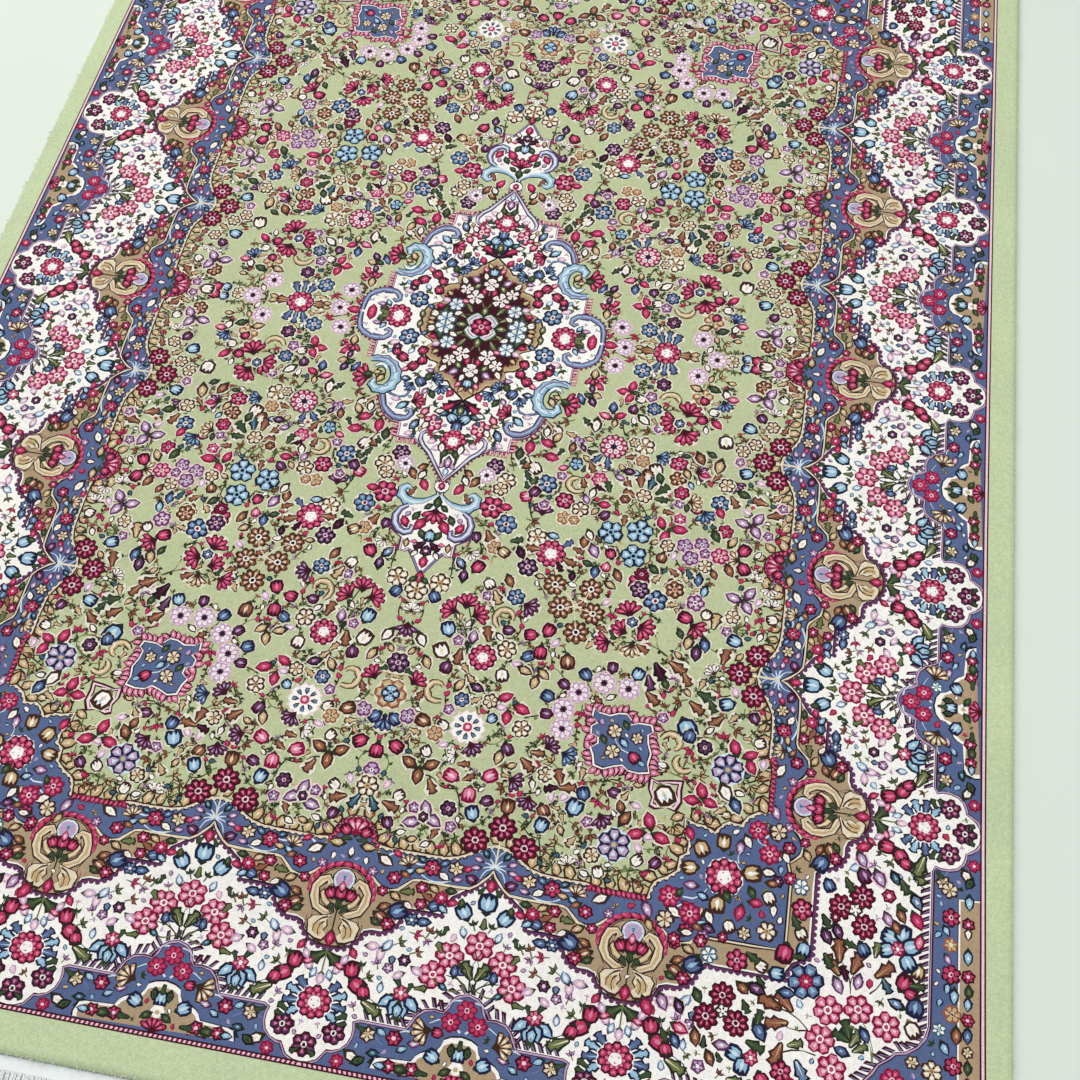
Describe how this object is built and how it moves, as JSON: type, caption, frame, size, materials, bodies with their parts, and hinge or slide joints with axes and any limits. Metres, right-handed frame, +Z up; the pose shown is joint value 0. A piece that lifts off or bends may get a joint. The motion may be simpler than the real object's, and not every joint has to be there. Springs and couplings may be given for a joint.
{
  "type": "persian rug",
  "caption": "Rectangular hand-knotted wool carpet with a floral medallion design, lying flat, with white cotton fringe along both short ends.",
  "frame": {"origin": "on the floor under the middle of the rug", "axes": "+Z up out of the pile, +Y along the rug's length towards its far end, +X across its width"},
  "size_m": [1.4958, 2.2166, 0.012],
  "materials": {
    "wool_pile": "short dense cut wool pile, soft matt with a slight sheen",
    "cotton_fringe": "matt twisted cotton, flat-woven heading and loose strands"
  },
  "bodies": {
    "root": {"rug_pile": "wool_pile", "fringe_near": "cotton_fringe", "fringe_far": "cotton_fringe"}
  },
  "joints": []
}
